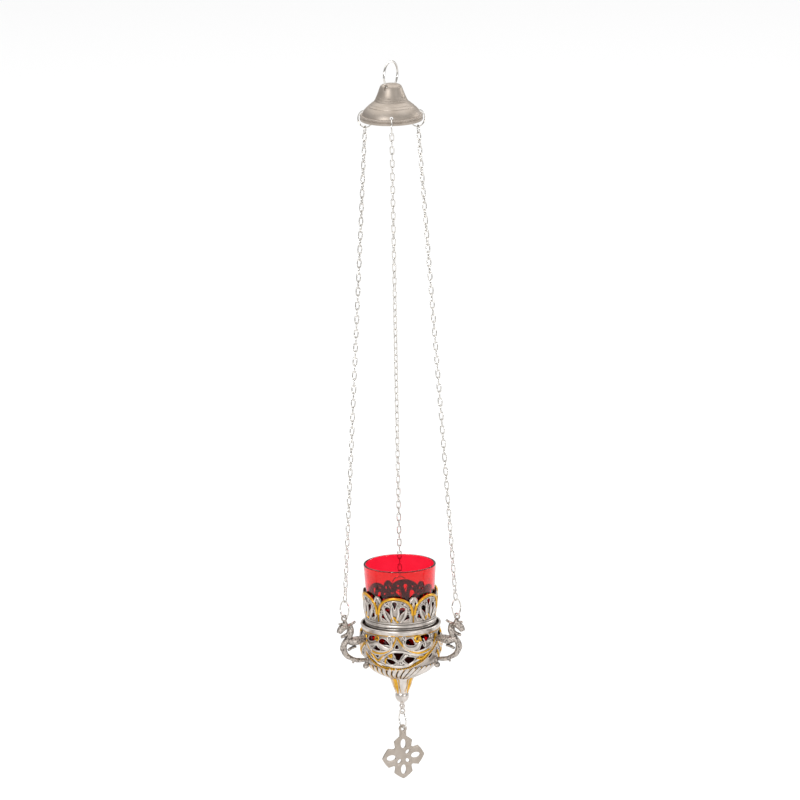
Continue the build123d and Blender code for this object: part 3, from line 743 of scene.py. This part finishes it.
def gallery_sector():
    """One scallop of the gallery, flat: pierced wall and raised work, in millimetres."""
    turn = 30.6 * math.radians(30)
    top = 31.4
    wall = slab(2 * turn, 0.0, top, 1.2, 56, 48, "wall")
    arch = [(-turn, 0), (-turn, 15.4)]
    for step in range(25):
        angle = math.pi * (1 - step / 24)
        arch.append((turn * 0.99 * math.cos(angle) * (1 + 0.03 * math.sin(2 * angle)),
                     16.2 + (top - 16.4) * math.sin(angle) ** 0.82))
    arch += [(turn, 15.4), (turn, 0)]
    arch = [(x, min(y, top - 0.02)) for x, y in arch]
    keep = [prism([(x, y) for x, y in reversed(arch)], -3, 3, "arch")]
    for side in (-1, 1):
        petal = [(side * turn, 14.0), (side * turn, 31.0), (side * (turn - 1.6), 31.0),
                 (side * (turn - 3.6), 28.6), (side * (turn - 4.6), 24.6), (side * (turn - 4.0), 20.6),
                 (side * (turn - 3.2), 17.6)]
        keep.append(prism(petal if side < 0 else list(reversed(petal)), -3.01, 3.01, "petal"))
    cut_union(wall, keep)
    holes = [drop_outline((-0.2, 25.2), 1.9, (-0.2, 19.2))]
    for side in (-1, 1):
        holes.append(drop_outline((side * 6.4, 19.8), 2.3, (side * 3.4, 10.4), -1.5 * side))
        holes.append(drop_outline((side * 11.3, 13.0), 2.0, (side * 8.0, 8.6), -0.9 * side))
        holes.append(blob_outline((side * 7.0, 25.6), 1.15, 1.15, 0))
        holes.append(blob_outline((side * 12.2, 19.0), 1.15, 1.15, 0))
        holes.append(blob_outline((side * (turn - 1.9), 24.6), 0.8, 1.2, 0))
    holes.append(blob_outline((-1.4, 10.6), 1.0, 1.1, 0))
    cut(wall, [prism(hole, -3, 3, "hole") for hole in holes])
    silver, gold = [], []
    border = [(x * 0.94, y - 1.1, 0.3) for x, y in arch[1:-1]]
    gold.append(line(border, 1.3))
    for side in (-1, 1):
        gold.append(line([(side * turn, 15.2, 0.2), (side * turn, 11.0, 0.2),
                          (side * turn, 7.6, 0.1)], 0.7))
    silver.append(line([(x * 0.84, y - 2.2, 0.1) for x, y, _ in border[1:-1]], 0.5))
    for hole in holes[:5] + holes[6:]:
        silver.append(outline_rim([(x, y, 0.1) for x, y in hole], 0.5))
    for side in (-1, 1):
        silver.append(leaf([(side * 9.6, 22.0, 0.4), (side * 9.5, 17.4, 0.5), (side * 8.4, 13.2, 0.5),
                            (side * 4.6, 7.8, 0.3)], 1.4))
        silver.append(leaf([(side * 2.7, 23.4, 0.3), (side * 3.2, 18.0, 0.5), (side * 2.6, 13.0, 0.5),
                            (side * 0.6, 8.2, 0.3)], 1.25))
        silver.append(leaf([(side * 13.6, 16.4, 0.3), (side * 13.9, 12.4, 0.4),
                            (side * 12.0, 9.0, 0.3)], 1.0))
        silver.append(leaf([(side * (turn - 0.3), 18.6, 0.3), (side * (turn - 3.3), 22.2, 0.3),
                            (side * (turn - 3.2), 27.0, 0.3), (side * (turn - 0.2), 30.2, 0.3)], 0.9))
    gold.append(leaf([(-3.6, 8.0, 0.4), (-2.9, 12.4, 0.5), (0.0, 12.6, 0.6), (1.0, 9.4, 0.6),
                      (2.6, 7.8, 0.4)], 1.1))
    silver.append(line([(-turn, 6.6, 0.2), (0, 6.6, 0.2), (turn, 6.6, 0.2)], 0.6))
    silver.append(line([(-turn, 3.5, -0.5), (0, 3.5, -0.5), (turn, 3.5, -0.5)], 2.1))
    silver.append(line([(-turn, 0.9, 0.2), (0, 0.9, 0.2), (turn, 0.9, 0.2)], 0.9))
    raised = tube(silver, "silver", 0.9)
    gilt = tube(gold, "gilt", 0.9)
    paint(wall, "antique_ground")
    # Painted shade on the inward faces and the sides of the piercings
    paint_shade_inside(wall, "painted_shade_inside")
    paint(raised, "cast_silver")
    paint(gilt, "gilt_plate")
    return join([wall, raised, gilt], "sector")


def cut_union(piece, keep):
    """Keeps what lies inside any of several overlapping prisms."""
    tool = keep[0]
    for other in keep[1:]:
        pick(tool)
        modifier = tool.modifiers.new("union", "BOOLEAN")
        modifier.operation = "UNION"
        modifier.object = other
        modifier.solver = "EXACT"
        bpy.ops.object.modifier_apply(modifier="union")
        bpy.data.objects.remove(other)
    cut(piece, [tool], "INTERSECT")


class LAMP_OT_gallery(bpy.types.Operator):
    """Pierced gallery of six scallops, with petals between them"""
    bl_idname = "lamp.gallery"
    bl_label = "Gallery"

    def execute(self, context):
        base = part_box("gallery")[0].z / MM
        surface = Surface(base, [(0.0, 30.6), (10.0, 31.4), (20.0, 32.2), (31.4, 33.0)], 30.6)
        sector = gallery_sector()
        flat = sector.data.copy()
        parts = []
        for number in range(6):
            part = bpy.data.objects.new("part", flat.copy())
            context.scene.collection.objects.link(part)
            surface.wrap(part, context.scene.lamp_sizes.gallery_turn + math.tau * number / 6)
            parts.append(part)
        bpy.data.objects.remove(sector)
        gallery = join(parts, "look_gallery")
        smooth(gallery, 50)
        done(gallery, "bowl", "antique_silver_gilt", "gallery")
        return {"FINISHED"}


def bowl_panel(width):
    """One panel of the bowl, flat: pierced wall and raised work, drops measured from the lip."""
    wall = slab(width, 11.5, 46.0, 1.5, 110, 50, "wall")
    x_of = width / 120.0

    def at(angle, drop, lift=0.0):
        return angle * x_of, 50.0 - drop, lift

    def run(points, lift):
        return [at(angle, drop, lift) for angle, drop in points]

    openings = [
        [(-55.4, 9.4), (-51.4, 6.7), (-45.0, 6.1), (-39.3, 6.8), (-38.8, 9.6),
         (-44.6, 10.6), (-50.6, 11.4)],
        [(-30.4, 7.2), (-23.3, 8.0), (-18.3, 10.7), (-15.0, 13.6), (-21.5, 12.5),
         (-27.6, 12.9), (-35.3, 10.9)],
        [(-37.6, 13.8), (-34.2, 16.0), (-29.3, 17.0), (-33.8, 19.3), (-39.6, 19.9),
         (-44.6, 18.4), (-41.0, 16.1)],
        [(-6.0, 10.6), (-2.0, 16.0), (-10.2, 16.0)],
        [(8.2, 7.4), (14.6, 6.7), (17.4, 8.5), (20.4, 13.4), (12.8, 12.9), (5.9, 12.0)],
        [(28.8, 5.1), (43.4, 5.0), (46.2, 7.7), (40.0, 10.7), (34.2, 11.8), (28.6, 8.7)],
        [(31.1, 11.9), (32.9, 15.4), (38.3, 18.2), (34.0, 20.0), (24.9, 19.7), (28.0, 16.0)],
        [(-22.6, 25.5), (-16.7, 25.8), (-11.7, 26.9), (-7.5, 29.3), (-13.8, 31.6), (-20.0, 29.5)],
        [(-12.3, 19.5), (-2.4, 19.7), (4.4, 19.7), (0.3, 22.7), (-3.2, 26.9), (-7.7, 26.0), (-8.6, 22.8)],
        [(6.8, 23.1), (13.3, 23.9), (20.6, 24.9), (17.5, 28.1), (11.0, 30.6), (6.2, 28.4), (3.3, 25.6)],
        [(-41.4, 21.7), (-30.0, 20.8), (-36.7, 26.6)],
        [(51.5, 10.0), (54.5, 13.5), (49.5, 16.0), (47.4, 13.2)],
        [(-55.5, 20.5), (-50.0, 23.0), (-51.0, 27.5), (-56.5, 24.5)],
        [(40.5, 24.5), (47.0, 22.0), (52.0, 24.5), (45.0, 28.5)]]
    cut(wall, [prism(list(reversed([p[:2] for p in run(hole, 0)])), -4, 4, "hole") for hole in openings])
    silver, gold = [], []
    for hole in openings:
        silver.append(outline_rim(run(hole, 0.05), 0.45))
    left = [(-6.1, 5.2), (-10.6, 13.4), (-19.5, 19.3), (-32.1, 21.0), (-44.2, 20.2),
            (-54.6, 16.0), (-59.6, 7.4)]
    right = [(-6.1, 5.2), (0.7, 12.7), (11.8, 18.2), (23.6, 20.9), (36.5, 20.0), (50.8, 16.4), (59.6, 7.0)]
    gold.append(line(run([(-60, 4.9), (-30, 4.9), (0, 4.9), (30, 4.9), (60, 4.9)], 0.1), 0.5))
    for swag, way in ((left, 1), (right, -1)):
        gold.append(line(run(swag, 0.7), 0.85))
        silver.append(line(run([(a + way * 1.7, v - 1.5) for a, v in swag[:-1]], 0.35), 0.85))
        silver.append(line(run([(a - way * 0.9, v + 1.5) for a, v in swag[1:]], 0.35), 0.8))
    for place, size, start, turns, wire, way, metal in (
            ((-36.9, 8.3), 2.7, 200, 1.2, 0.95, -1, gold), ((-17.6, 7.0), 2.7, -30, 1.2, 0.9, 1, silver),
            ((5.0, 7.0), 2.7, 210, 1.2, 0.9, -1, silver), ((24.2, 8.4), 3.9, -30, 1.3, 1.25, 1, gold),
            ((-15.2, 22.4), 2.5, 40, 1.3, 0.95, 1, gold), ((-0.6, 29.6), 2.7, 200, 1.3, 0.9, -1, silver),
            ((12.6, 21.0), 1.9, 140, 1.2, 0.75, -1, silver), ((-26.4, 24.4), 2.2, 0, 1.2, 0.8, 1, silver),
            ((50.0, 7.6), 2.3, 200, 1.2, 0.75, -1, silver), ((28.4, 24.6), 2.4, 60, 1.2, 0.8, -1, gold)):
        metal.append(volute(at(*place), size, start, turns, wire, way))
    for points, thick, metal in (
            ([(-14.4, 8.6), (-12.0, 13.5), (-18.0, 17.0), (-26.0, 15.2), (-33.0, 12.7), (-41.0, 12.7),
              (-48.0, 14.6)], 1.75, silver),
            ([(2.8, 8.6), (4.0, 14.0), (11.0, 16.4), (19.5, 16.4), (25.6, 13.9),
              (27.4, 10.6)], 1.7, silver),
            ([(37.6, 12.4), (44.6, 10.8), (49.6, 13.4), (45.4, 17.2), (40.8, 17.6)], 1.5, silver),
            ([(-56.6, 12.6), (-52.0, 13.8), (-48.0, 17.6), (-43.4, 21.2)], 1.2, silver),
            ([(-30.4, 26.4), (-22.0, 22.4), (-14.0, 18.8), (-5.8, 18.0), (2.4, 18.4), (11.4, 20.6),
              (22.4, 23.0), (32.8, 23.6)], 1.0, silver),
            ([(-51.0, 19.8), (-43.4, 24.2), (-36.7, 29.4), (-30.0, 25.2), (-22.6, 20.8)], 0.85, gold),
            ([(-29.6, 28.6), (-21.0, 32.0), (-9.4, 33.2), (2.2, 33.0), (12.4, 31.6), (20.4, 27.6),
              (28.0, 26.4)], 1.5, silver),
            ([(-4.6, 27.8), (1.4, 26.4), (4.6, 22.8), (9.6, 21.6)], 1.35, silver),
            ([(0.4, 27.0), (3.6, 30.0), (9.2, 31.6)], 1.1, silver),
            ([(-12.0, 24.6), (-8.8, 27.6), (-3.4, 28.8)], 1.0, silver),
            ([(-20.4, 24.4), (-25.4, 27.2), (-24.0, 31.0)], 1.1, gold),
            ([(22.6, 25.6), (28.8, 27.6), (35.6, 24.2), (43.0, 20.6)], 1.2, gold),
            ([(33.4, 8.2), (37.4, 12.2), (35.4, 15.4)], 0.9, silver),
            ([(-44.0, 26.0), (-39.0, 30.6), (-31.0, 32.6)], 1.1, silver)):
        metal.append(leaf(run(points, 0.4), thick))
    garland = [(60, 14.0), (50, 18.8), (33.1, 28.0), (14.9, 33.2), (-6, 35.2), (-25.3, 35.2),
               (-44.0, 31.6), (-60.0, 22.4)]
    for lift in (-2.4, 2.4):
        silver.append(line(run([(a, v + lift) for a, v in garland], 0.3), 0.6))
    raised = tube(silver, "silver", 0.85)
    gilt = tube(gold, "gilt", 0.85)
    beads = join([bead_row([at(a, v + lift)[:2] for a, v in garland], 1.9, 0.85, width)
                  for lift in (-0.95, 0.95)], "beads")
    paint(wall, "antique_ground")
    # Painted shade on the inward faces and the sides of the piercings
    paint_shade_inside(wall, "painted_shade_inside")
    paint(raised, "cast_silver")
    paint(gilt, "gilt_plate")
    paint(beads, "gilt_plate")
    return join([wall, raised, gilt, beads], "panel")


def bead_row(points, spacing, radius, width):
    """Small round beads along a line of points."""
    places = []
    for (x1, y1), (x2, y2) in zip(points, points[1:]):
        count = max(1, round(math.hypot(x2 - x1, y2 - y1) / spacing))
        places += [(x1 + (x2 - x1) * i / count, y1 + (y2 - y1) * i / count) for i in range(count)]
    deselect()
    bpy.ops.mesh.primitive_uv_sphere_add(segments=8, ring_count=6, radius=radius)
    bead = bpy.context.view_layer.objects.active
    return join(copies(bead, [Matrix.Translation((x, y, 0.45))
                              for x, y in places if abs(x) < width / 2 + 3]), "beads")


class LAMP_OT_bowl(bpy.types.Operator):
    """Pierced urn bowl: rolled lip, three ornament panels and leaning leaves"""
    bl_idname = "lamp.bowl"
    bl_label = "Bowl"

    def execute(self, context):
        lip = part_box("bowl")[1].z / MM
        outline = [(-0.5, 12.4), (0.0, 12.9), (6.0, 23.0), (10.4, 28.4), (15.0, 31.8), (20.5, 34.4),
                   (26.0, 35.9), (32.5, 36.7), (38.0, 36.3), (45.6, 34.6), (50.5, 34.4)]
        width = math.tau * BOWL_WIDEST / 3
        surface = Surface(lip - 50.0, outline, BOWL_WIDEST)
        panel = bowl_panel(width)
        flat = panel.data.copy()
        parts = []
        for number in range(3):
            part = bpy.data.objects.new("part", flat.copy())
            context.scene.collection.objects.link(part)
            surface.wrap(part, context.scene.lamp_sizes.ornament_turn + math.tau * number / 3)
            parts.append(part)
        bpy.data.objects.remove(panel)
        parts += gadroons(surface)
        parts += [bowl_lip(lip), bowl_foot_wall(lip)]
        bowl = join(parts, "look_bowl")
        smooth(bowl, 50)
        hold_within(bowl, BOWL_REACH * MM)
        done(bowl, "bowl", "antique_silver_gilt", "bowl")
        return {"FINISHED"}


def bowl_lip(lip):
    """The rolled lip with the seat ledge that the gallery stands on."""
    outline = [(34.4, -4.7), (35.0, -4.5), (35.3, -3.9), (35.5, -2.6), (36.0, -2.2),
               (36.2, -1.5), (36.1, -0.7), (35.6, -0.1), (34.9, 0.0), (34.3, -0.3), (34.0, -1.0),
               (33.9, -3.2), (31.6, -3.2), (31.4, -0.8), (29.2, -0.8), (29.2, -2.2), (30.8, -2.4),
               (31.0, -4.2), (33.4, -4.4), (33.6, -4.7)]
    made = spun([(r * MM, (lip + z) * MM) for r, z in outline], 144, "lip")
    # Painted shade on the seat between the gallery and the lip, and on the inner faces below it
    paint(made, "cast_silver", "painted_shade_inside")
    for face in made.data.polygons:
        reach = math.hypot(face.center.x, face.center.y)
        if 31.3 * MM < reach < 34.15 * MM or face.center.z < (lip - 2.0) * MM and reach < 34.0 * MM:
            face.material_index = 1
    return made


def bowl_foot_wall(lip):
    """The plain wall of the bowl behind the leaves, down to its floor."""
    outline = [(31.8, -34.6), (31.2, -35.4), (27.7, -40.0), (22.4, -44.4), (12.8, -50.0),
               (2.0, -50.0), (2.0, -47.6), (11.2, -47.6), (20.8, -43.2), (26.0, -39.0), (29.9, -34.6)]
    made = spun([(r * MM, (lip + z) * MM) for r, z in outline], 120, "foot_wall")
    # Painted shade: the whole wall behind the leaves takes the dark finish
    paint(made, "painted_shade_inside")
    return made


def gadroons(surface):
    """Leaning leaves round the lower bowl, silver with gilt edges."""
    parts = []
    count = 36
    step = math.tau * surface.flat_radius / count
    silver, gold = [], []
    silver.append(leaf([(0.0, 0.6, 0.2), (1.6, 5.6, 0.5), (4.4, 9.8, 0.7), (7.8, 14.4, 0.5)], 2.3))
    silver.append(line([(0.2, 1.0, 0.9), (1.9, 5.8, 1.3), (4.6, 9.8, 1.4), (7.4, 13.6, 0.9)], 0.3))
    gold.append(line([(2.6, 1.2, 0.4), (4.0, 6.0, 0.8), (6.8, 10.6, 0.9), (9.6, 14.6, 0.5)], 0.5))
    raised = tube(silver, "silver", 0.6)
    gilt = tube(gold, "gilt", 0.8)
    paint(raised, "cast_silver")
    paint(gilt, "gilt_plate")
    one = join([raised, gilt], "gadroon")
    made = copies(one, [Matrix.Translation((step * number, 0, 0)) for number in range(count)])
    for piece in made:
        surface.wrap(piece)
        parts.append(piece)
    return parts


class LAMP_OT_calyx(bpy.types.Operator):
    """Fluted calyx under the bowl, alternately gilt and silver"""
    bl_idname = "lamp.calyx"
    bl_label = "Calyx"

    def execute(self, context):
        low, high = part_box("calyx")
        reach = (high.x - low.x) / 2 / MM
        tall = (high.z - low.z) / MM
        outline = [(0.0, 5.6), (2.0, 5.8), (tall * 0.42, 7.4), (tall * 0.75, 9.2), (tall, reach - 0.9),
                   (tall + 1, reach - 0.4)]
        surface = Surface(low.z / MM, outline, 8.0)
        count = 8
        step = math.tau * 8.0 / count
        made = []
        for number in range(count):
            broad = number % 2 == 0
            width = step * (0.62 if broad else 0.42)
            petal = tube([leaf([(0, 0.3, 0.1), (0, tall * 0.3, 0.2), (0, tall * 0.6, 0.4),
                                (0, tall - 0.4, 0.2)], width)], "petal", 0.3 if broad else 0.45)
            edges = tube([line([(side * width * 0.62, 0.8, 0.4), (side * width * 0.80, tall * 0.4, 0.5),
                                (side * width * 0.86, tall - 1.2, 0.4)], 0.4)
                          for side in (-1, 1)], "edges", 0.9)
            paint(petal, "cast_silver" if broad else "gilt_plate")
            paint(edges, "cast_silver" if not broad else "gilt_plate")
            flute = join([petal, edges], "flute")
            flute.data.transform(Matrix.Translation((step * number, 0, 0)))
            surface.wrap(flute, math.radians(8))
            made.append(flute)
        cup = spun([(r * MM, (low.z / MM + z) * MM) for r, z in
                    [(2.0, 0.1), (6.0, 0.1), (6.3, 1.2), (7.4, tall * 0.42), (9.2, tall * 0.75),
                     (reach - 0.4, tall - 0.05), (reach - 1.6, tall - 0.05), (7.9, tall * 0.75),
                     (6.1, tall * 0.42), (4.6, 1.4), (2.0, 1.4)]],
                   72, "cup")
        paint(cup, "cast_silver")
        calyx = join(made + [cup], "look_calyx")
        smooth(calyx, 50)
        done(calyx, "bowl", "antique_silver_gilt", "calyx")
        return {"FINISHED"}


class LAMP_OT_handles(bpy.types.Operator):
    """Cast griffin handles, one modelled and two copied round"""
    bl_idname = "lamp.handles"
    bl_label = "Handles"

    def execute(self, context):
        eye = JOINTS["bowl_level"]["pos_m"][2] / MM - 1.2
        strokes = [
            ([(57.4, -27.4), (60.6, -27.0), (60.7, -23.0), (59.6, -28.8), (58.2, -34.0),
              (54.0, -38.2), (47.0, -39.6)],
             [1.0, 1.6, 1.4, 2.0, 1.9, 1.6, 1.3], False),
            leaf([(52.6, -14.0), (53.6, -17.6), (56.4, -21.0), (59.6, -25.0), (59.2, -31.0), (55.2, -36.6),
                  (48.4, -39.4)], 2.8),
            leaf([(34.6, -42.0), (39.0, -41.6), (44.0, -41.2), (49.0, -40.0), (54.0, -37.6)], 2.2),
            leaf([(36.0, -22.4), (42.0, -22.0), (47.0, -22.8), (52.0, -22.4), (56.0, -20.6)], 4.2),
            leaf([(46.4, -28.4), (50.4, -27.6), (54.8, -30.2)], 1.6),
            leaf([(52.2, -7.0), (51.8, -11.0), (52.6, -15.0), (53.6, -19.0)], 3.4),
            leaf([(52.0, -8.6), (56.0, -7.4), (60.0, -8.2), (63.0, -11.0), (64.0, -13.2)], 3.3),
            leaf([(54.0, -13.8), (57.6, -16.6), (61.6, -16.9)], 1.9),
            leaf([(53.6, -6.4), (49.6, -6.8), (47.0, -4.6)], 1.4),
            leaf([(57.0, -5.8), (60.6, -4.4), (64.0, -4.8)], 1.2),
            leaf([(58.0, -3.0), (56.6, -6.0), (57.6, -8.4)], 2.8),
            leaf([(50.4, -43.0), (49.4, -40.6), (48.4, -38.8)], 1.4),
            leaf([(35.0, -39.8), (35.8, -43.0), (36.6, -46.6)], 2.0),
            leaf([(60.9, -24.0), (63.0, -26.6), (61.6, -30.0)], 1.0),
        ]
        cast = tube([([(x, z, 0.0) for x, z in points], radii, closed)
                     for points, radii, closed in strokes],
                    "cast", 1.15, 4)
        extras = []
        for x, z, size, thick in ((36.9, -47.4, 2.7, 2.7), (57.4, -9.3, 1.25, 3.1),
                                  (52.4, -13.4, 2.9, 2.6)):
            deselect()
            bpy.ops.mesh.primitive_uv_sphere_add(segments=20, ring_count=12, radius=1.0)
            ball = bpy.context.view_layer.objects.active
            ball.data.transform(Matrix.Translation((x, z, 0)) @ Matrix.Diagonal((size, size, thick, 1)))
            extras.append(ball)
        ring = torus("eye", 2.45, 0.85, 40, 14)
        ring.data.transform(Matrix.Translation((58.2, 0, 0)))
        handle = join([cast] + extras + [ring], "handle")
        pick(handle)
        remesh = handle.modifiers.new("remesh", "REMESH")
        remesh.mode = "VOXEL"
        remesh.voxel_size = 0.32
        bpy.ops.object.modifier_apply(modifier="remesh")
        soften = handle.modifiers.new("soften", "SMOOTH")
        soften.factor = 0.5
        soften.iterations = 2
        bpy.ops.object.modifier_apply(modifier="soften")
        stood = Matrix(((1, 0, 0, 0), (0, 0, -1, 0), (0, 1, 0, 0), (0, 0, 0, 1)))
        handle.data.transform(Matrix.Diagonal((MM, MM, MM, 1)) @ Matrix.Translation((0, 0, eye)) @ stood)
        places = [Matrix.Rotation(math.radians(HANDLE_ANGLES[side]), 4, "Z") for side in SIDES]
        for side, piece in zip(SIDES, copies(handle, places)):
            piece.name = f"look_handle_{side}"
            paint(piece, "scaled_silver")
            smooth(piece, 60)
            hold_within(piece, HANDLE_REACH * MM)
            done(piece, "bowl", "antique_silver", f"handle_{side}")
        return {"FINISHED"}


class LAMP_OT_small_parts(bpy.types.Operator):
    """Finial, its stud, washer and nut, and the handle screws"""
    bl_idname = "lamp.small_parts"
    bl_label = "Small parts"

    def execute(self, context):
        for node in ("finial", "finial_stud", "finial_washer", "finial_nut", "handle_screws"):
            paint(frame["nodes"][node], "cast_silver" if node == "finial" else "plated_wire")
            smooth(frame["nodes"][node], 30)
        return {"FINISHED"}


class LAMP_OT_pendant(bpy.types.Operator):
    """Stamped and pierced pendant cross, with its edges softened"""
    bl_idname = "lamp.pendant"
    bl_label = "Pendant"

    def execute(self, context):
        plate = frame["nodes"]["pendant_cross"].copy()
        plate.data = plate.data.copy()
        context.scene.collection.objects.link(plate)
        plate.name = "look_pendant_cross"
        plate.parent = None
        for key in [key for key in plate.keys() if key.startswith("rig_")]:
            del plate[key]
        merge_and_face_out(plate)
        pick(plate)
        edge = plate.modifiers.new("edge", "BEVEL")
        edge.width = 0.3 * MM
        edge.segments = 2
        edge.limit_method = "ANGLE"
        edge.angle_limit = math.radians(60)
        bpy.ops.object.modifier_apply(modifier="edge")
        paint(plate, "brushed_plate")
        smooth(plate, 30)
        done(plate, "pendant_cross", "satin_cross", "pendant_cross")
        return {"FINISHED"}


class LAMP_OT_stage(bpy.types.Operator):
    """Pale paper floor, soft lights and the camera"""
    bl_idname = "lamp.stage"
    bl_label = "Stage"

    def execute(self, context):
        floor_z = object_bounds()[0].z - FLOOR_DROP
        deselect()
        bpy.ops.mesh.primitive_grid_add(x_subdivisions=4, y_subdivisions=4, size=FLOOR_SIZE,
                                        location=(0, 0, floor_z))
        floor = bpy.context.view_layer.objects.active
        floor.name = "stage_floor"
        paint(floor, "studio_paper")
        smooth(floor, 60)
        floor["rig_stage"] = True
        middle = Vector(LAMP_MIDDLE)
        for name, place, aim, size, power in (
                ("key", (-1.3, -2.5, 1.0), middle, 0.8, 38.0),
                ("fill", (1.9, -2.0, 0.1), middle, 0.6, 12.0), ("rim", (1.4, 0.7, 0.2), middle, 0.5, 4.0),
                ("ceiling", (0.0, 2.6, 3.2), Vector((0, 2.7, 0)), 7.0, 216.0)):
            lamp = bpy.data.lights.new(name, "AREA")
            lamp.energy = power
            lamp.size = size
            light = bpy.data.objects.new(name, lamp)
            light.location = place
            light.rotation_euler = (aim - light.location).to_track_quat("-Z", "Y").to_euler()
            context.scene.collection.objects.link(light)
        world = bpy.data.worlds.new("studio")
        world.use_nodes = True
        world.node_tree.nodes["Background"].inputs["Color"].default_value = (1.0, 1.0, 1.0, 1.0)
        world.node_tree.nodes["Background"].inputs["Strength"].default_value = WORLD_STRENGTH
        context.scene.world = world
        context.scene.view_settings.view_transform = "Standard"
        camera = bpy.data.cameras.new("camera")
        camera.sensor_width = CAMERA_SENSOR
        camera.lens = CAMERA_LENS
        camera.clip_end = 60.0
        shot = bpy.data.objects.new("camera", camera)
        aim = Vector(CAMERA_AIM)
        tilt = math.radians(CAMERA_TILT)
        shot.location = aim + CAMERA_AWAY * Vector((0, -math.cos(tilt), math.sin(tilt)))
        look = (aim - shot.location).to_track_quat("-Z", "Y")
        roll = Matrix.Rotation(math.radians(CAMERA_ROLL), 4, "Z")
        shot.rotation_euler = (look.to_matrix().to_4x4() @ roll).to_euler()
        context.scene.collection.objects.link(shot)
        context.scene.camera = shot
        return {"FINISHED"}


class LAMP_PT_panel(bpy.types.Panel):
    """The lamp's sizes, colours and build buttons"""
    bl_idname = "LAMP_PT_panel"
    bl_label = "Sanctuary lamp"
    bl_space_type = "VIEW_3D"
    bl_region_type = "UI"
    bl_category = "Sanctuary lamp"

    def draw(self, context):
        for group in (context.scene.lamp_sizes, context.scene.lamp_colours):
            for key in group.bl_rna.properties.keys():
                if key not in ("rna_type", "name"):
                    self.layout.prop(group, key)
        for operator in OPERATORS:
            self.layout.operator(operator.bl_idname)


OPERATORS = (LAMP_OT_rings, LAMP_OT_chains, LAMP_OT_cap, LAMP_OT_glass, LAMP_OT_gallery, LAMP_OT_bowl,
             LAMP_OT_calyx, LAMP_OT_handles, LAMP_OT_small_parts, LAMP_OT_pendant, LAMP_OT_stage)
CLASSES = (LampSizes, LampColours) + OPERATORS + (LAMP_PT_panel,)


def register():
    """Adds the classes and the scene's settings."""
    for made in CLASSES:
        bpy.utils.register_class(made)
    bpy.types.Scene.lamp_sizes = bpy.props.PointerProperty(type=LampSizes)
    bpy.types.Scene.lamp_colours = bpy.props.PointerProperty(type=LampColours)


def unregister():
    """Takes them away again."""
    del bpy.types.Scene.lamp_sizes
    del bpy.types.Scene.lamp_colours
    for made in reversed(CLASSES):
        bpy.utils.unregister_class(made)


def main():
    """Builds every piece and the stage."""
    register()
    for operator in OPERATORS:
        group, name = operator.bl_idname.split(".")
        getattr(getattr(bpy.ops, group), name)()


if __name__ == "__main__":
    main()
